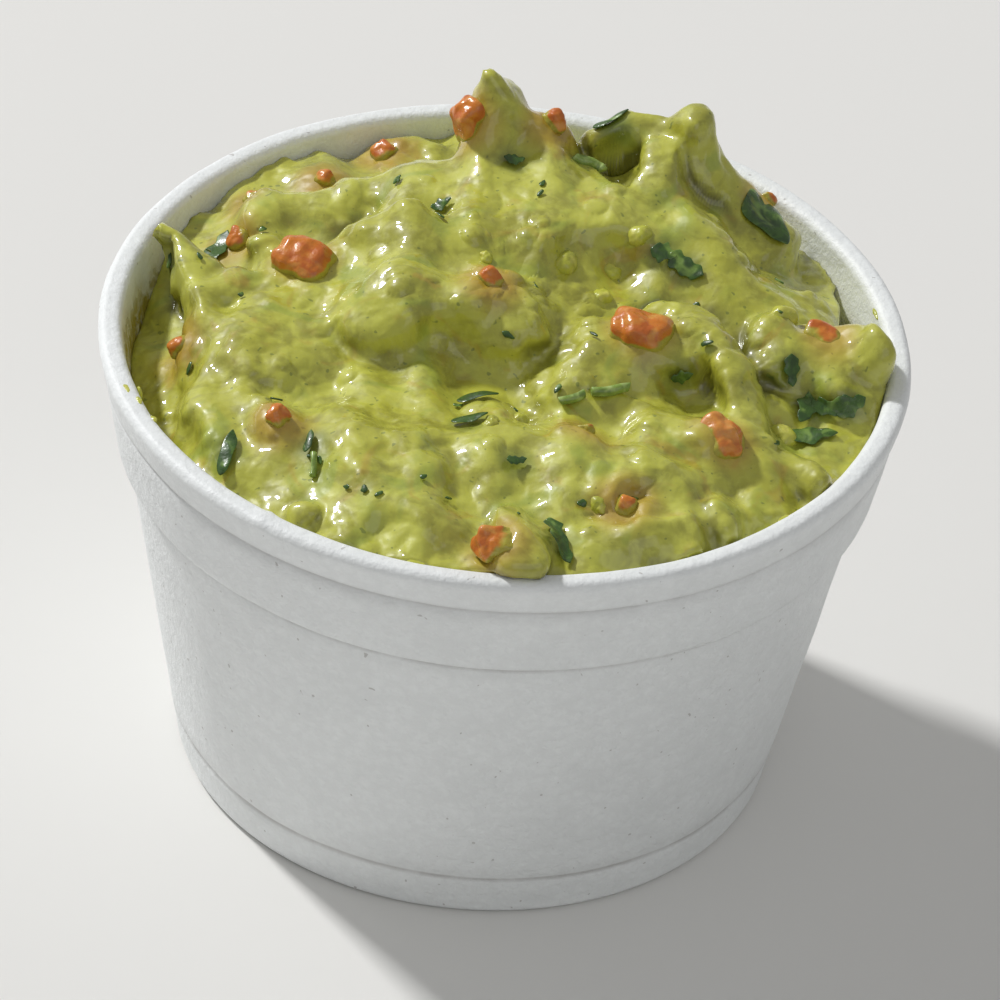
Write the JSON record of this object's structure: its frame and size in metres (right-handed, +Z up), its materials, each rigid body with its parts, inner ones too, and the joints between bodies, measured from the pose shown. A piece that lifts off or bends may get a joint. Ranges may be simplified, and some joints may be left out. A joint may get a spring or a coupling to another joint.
{
  "type": "guacamole in a foam cup",
  "caption": "Chunky guacamole with diced tomato and cilantro, heaped in a squat white foam food cup.",
  "frame": {"origin": "centre of the cup's foot, on the surface that it stands on", "axes": "+Z up along the cup's axis; -Y towards the side with the overhanging dollop, +X to its right"},
  "size_m": [0.092, 0.092, 0.0713],
  "materials": {
    "foam": "white expanded polystyrene foam, satin skin with a fine bead grain",
    "guacamole": "moist mashed avocado, soft uneven gloss",
    "tomato": "wet cut tomato"
  },
  "bodies": {
    "root": {"foam_cup": "foam", "guacamole": "guacamole", "tomato_dice_1": "tomato", "tomato_dice_2": "tomato", "tomato_dice_3": "tomato", "tomato_dice_4": "tomato", "tomato_dice_5": "tomato", "tomato_dice_6": "tomato"}
  },
  "joints": []
}
